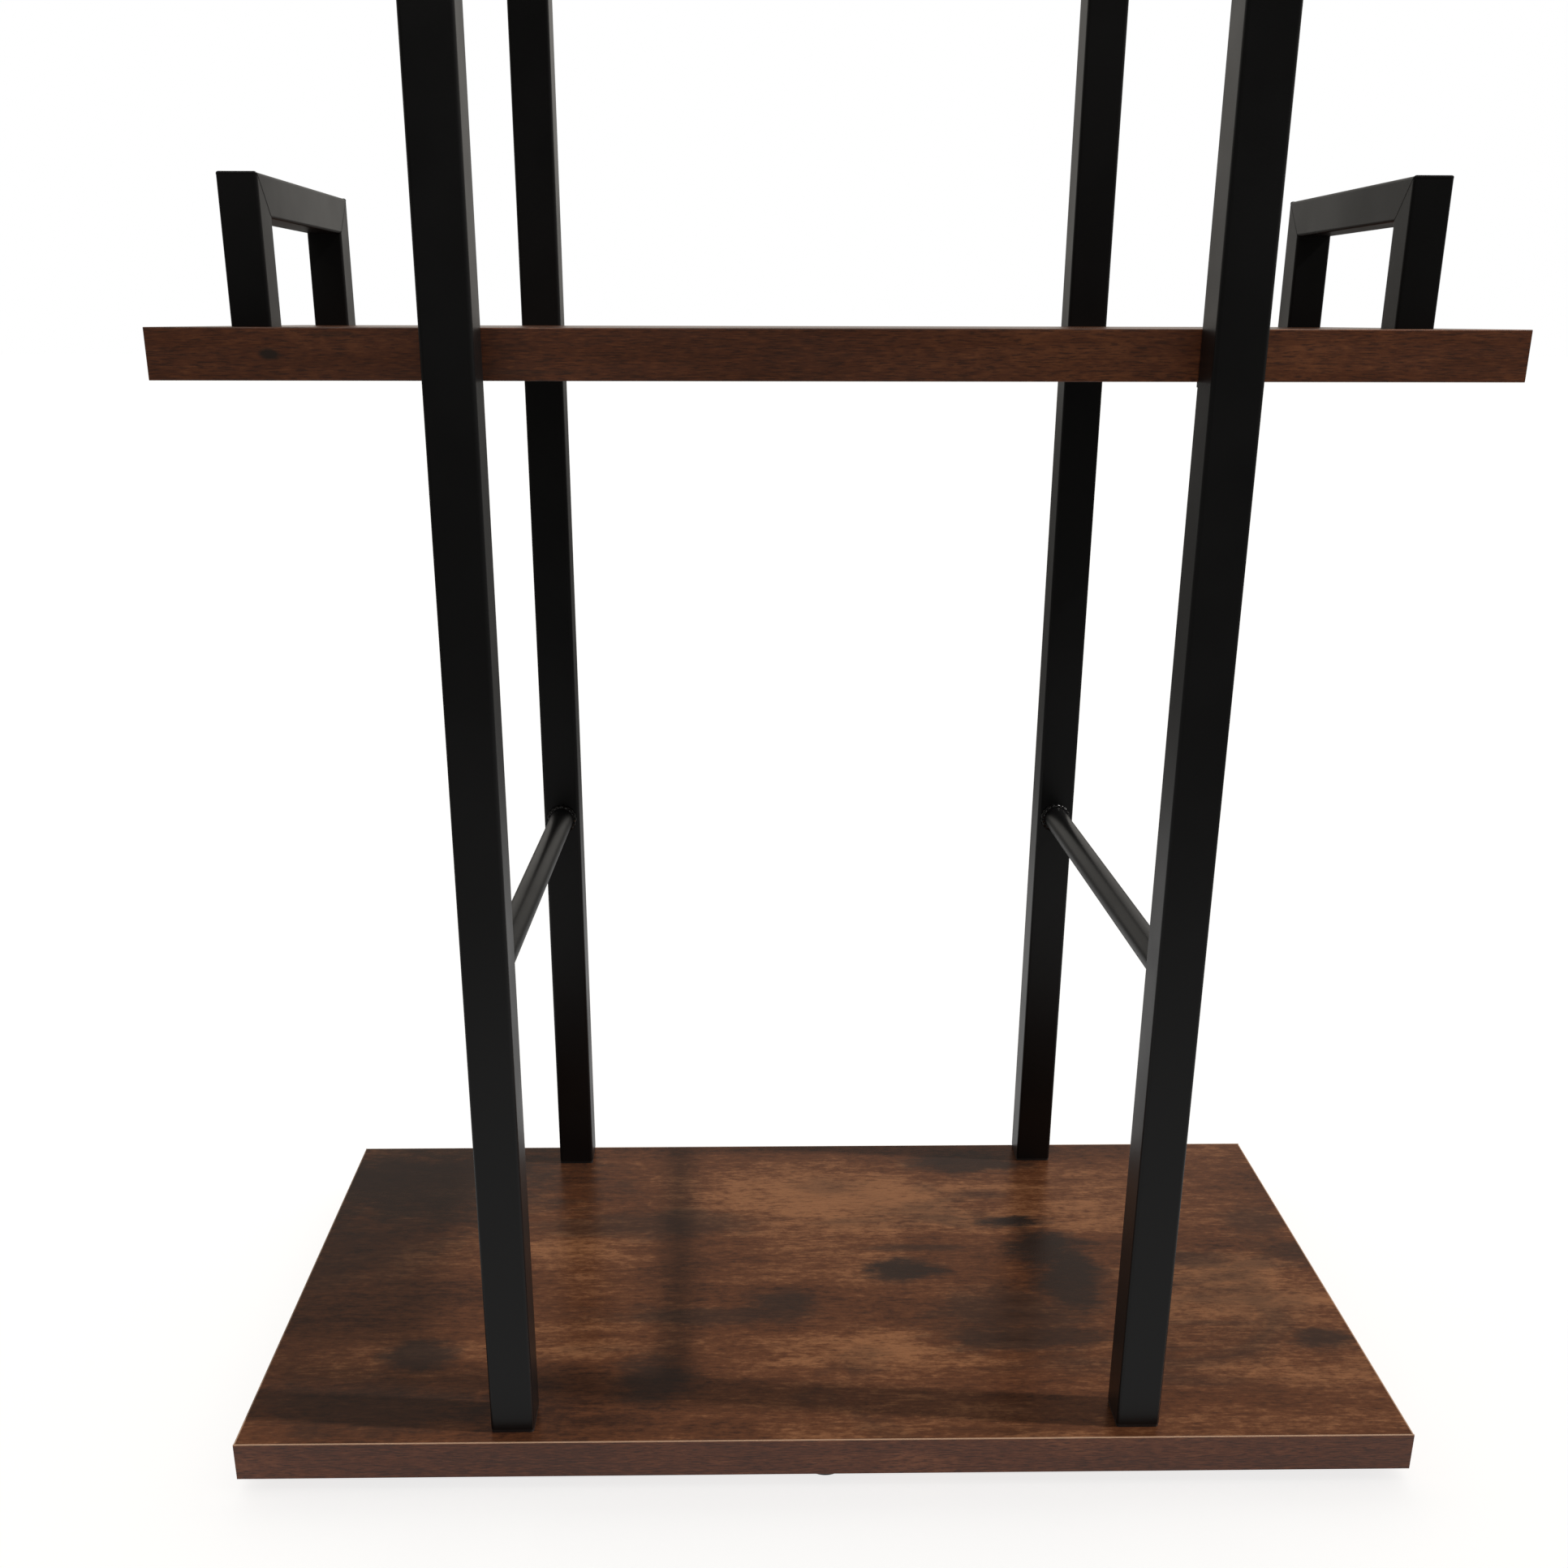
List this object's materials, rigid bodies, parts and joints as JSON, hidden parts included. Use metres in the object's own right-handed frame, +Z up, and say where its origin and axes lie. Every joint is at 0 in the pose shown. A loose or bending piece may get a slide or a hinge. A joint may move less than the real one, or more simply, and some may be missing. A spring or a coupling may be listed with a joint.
{
  "type": "hall tree with hooks",
  "caption": "Free-standing hall tree: a black square-tube frame with a wide base board, a middle shelf with side rails, a hat shelf and coat hooks.",
  "frame": {"origin": "on the floor, under the middle of the base board", "axes": "+Z up, the front faces -Y, +X to the right seen from the front"},
  "size_m": [0.684, 0.343, 1.775],
  "materials": {
    "laminate": "printed rustic oak laminate, satin",
    "edge_band": "printed edge band, satin",
    "black_steel": "black powder coat, satin",
    "bare_steel": "plain drawn tube",
    "zinc_screw": "zinc plated",
    "black_screw": "blackened steel, satin",
    "black_plastic": "moulded, fine grain",
    "hook_metal": "cast, black powder coat, satin",
    "brass_insert": "turned",
    "foot_plastic": "moulded nylon, matte",
    "foot_stem": "zinc plated, threaded"
  },
  "bodies": {
    "stand": {"base_board": "laminate", "middle_shelf": "laminate", "hat_shelf": "laminate", "hook_board": "laminate", "base_edge_bands": "edge_band", "middle_shelf_edge_bands": "edge_band", "hat_shelf_edge_bands": "edge_band", "hook_board_edge_bands": "edge_band", "front_left_lower_post": "black_steel", "front_left_upper_post": "black_steel", "front_right_lower_post": "black_steel", "front_right_upper_post": "black_steel", "back_left_lower_post": "black_steel", "back_left_upper_post": "black_steel", "back_right_lower_post": "black_steel", "back_right_upper_post": "black_steel", "post_connectors": "bare_steel", "base_bolts": "zinc_screw", "rail_screws": "zinc_screw", "lug_screws": "zinc_screw", "connector_screws": "black_screw", "hook_screws": "black_screw", "hook_board_screws": "black_screw", "post_foot_plugs": "black_plastic", "post_caps": "black_plastic", "rail_plugs": "black_plastic", "lower_crossbar_left": "black_steel", "lower_crossbar_right": "black_steel", "upper_crossbar_left": "black_steel", "upper_crossbar_right": "black_steel", "crossbar_welds": "black_steel", "shelf_lugs": "black_steel", "left_rail_front_leg": "black_steel", "left_rail_back_leg": "black_steel", "left_rail_top": "black_steel", "right_rail_front_leg": "black_steel", "right_rail_back_leg": "black_steel", "right_rail_top": "black_steel", "coat_hook_1": "hook_metal", "coat_hook_2": "hook_metal", "coat_hook_3": "hook_metal", "coat_hook_4": "hook_metal", "coat_hook_5": "hook_metal", "coat_hook_6": "hook_metal", "coat_hook_7": "hook_metal", "coat_hook_8": "hook_metal", "foot_inserts": "brass_insert"},
    "front_left_foot": {"front_left_foot_pad": "foot_plastic", "front_left_foot_stem": "foot_stem"},
    "front_centre_foot": {"front_centre_foot_pad": "foot_plastic", "front_centre_foot_stem": "foot_stem"},
    "front_right_foot": {"front_right_foot_pad": "foot_plastic", "front_right_foot_stem": "foot_stem"},
    "back_left_foot": {"back_left_foot_pad": "foot_plastic", "back_left_foot_stem": "foot_stem"},
    "back_centre_foot": {"back_centre_foot_pad": "foot_plastic", "back_centre_foot_stem": "foot_stem"},
    "back_right_foot": {"back_right_foot_pad": "foot_plastic", "back_right_foot_stem": "foot_stem"}
  },
  "joints": [
    {"name": "front_left_foot_adjust", "type": "slide", "parent": "stand", "child": "front_left_foot", "axis": [0, 0, -1], "range_m": [0, 0.008]},
    {"name": "front_centre_foot_adjust", "type": "slide", "parent": "stand", "child": "front_centre_foot", "axis": [0, 0, -1], "range_m": [0, 0.008]},
    {"name": "front_right_foot_adjust", "type": "slide", "parent": "stand", "child": "front_right_foot", "axis": [0, 0, -1], "range_m": [0, 0.008]},
    {"name": "back_left_foot_adjust", "type": "slide", "parent": "stand", "child": "back_left_foot", "axis": [0, 0, -1], "range_m": [0, 0.008]},
    {"name": "back_centre_foot_adjust", "type": "slide", "parent": "stand", "child": "back_centre_foot", "axis": [0, 0, -1], "range_m": [0, 0.008]},
    {"name": "back_right_foot_adjust", "type": "slide", "parent": "stand", "child": "back_right_foot", "axis": [0, 0, -1], "range_m": [0, 0.008]}
  ]
}
